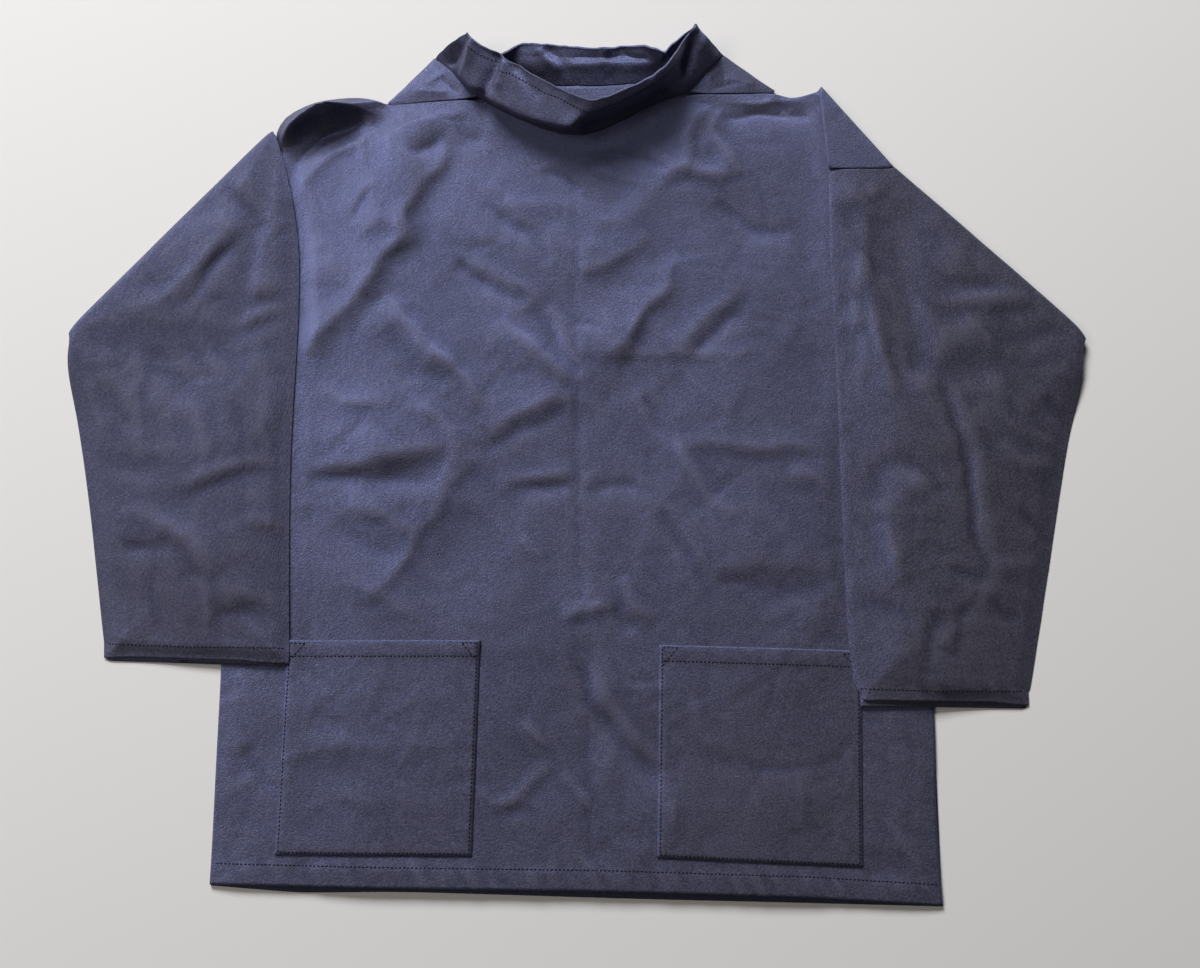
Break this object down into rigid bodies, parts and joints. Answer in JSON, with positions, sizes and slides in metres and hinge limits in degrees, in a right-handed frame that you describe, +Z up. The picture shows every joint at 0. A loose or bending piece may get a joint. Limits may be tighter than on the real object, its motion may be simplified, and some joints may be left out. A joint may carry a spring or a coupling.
{
  "type": "fisherman smock, laid flat with folded sleeves",
  "caption": "Pullover cotton drill smock with stand collar, neck gussets, wide sleeves folded over the front and patch pockets low on the front, laid flat",
  "frame": {"origin": "middle of the outline, on the surface the smock lies on", "axes": "+Z up off the surface, +Y from hem to collar, +X to the right as seen from above"},
  "size_m": [0.901, 0.7572, 0.0565],
  "materials": {
    "drill_body": "navy cotton drill, washed, soft low sheen, pressed creases",
    "drill_sleeve": "navy cotton drill, washed, soft low sheen",
    "drill_collar": "navy cotton drill, doubled and topstitched",
    "drill_pocket": "navy cotton drill, flat pressed, topstitched edges"
  },
  "bodies": {
    "root": {"front_body": "drill_body", "back_body": "drill_body", "sleeve_left": "drill_sleeve", "sleeve_right": "drill_sleeve", "collar": "drill_collar", "neck_gusset_left": "drill_body", "neck_gusset_right": "drill_body", "pocket_left": "drill_pocket", "pocket_right": "drill_pocket"}
  },
  "joints": []
}
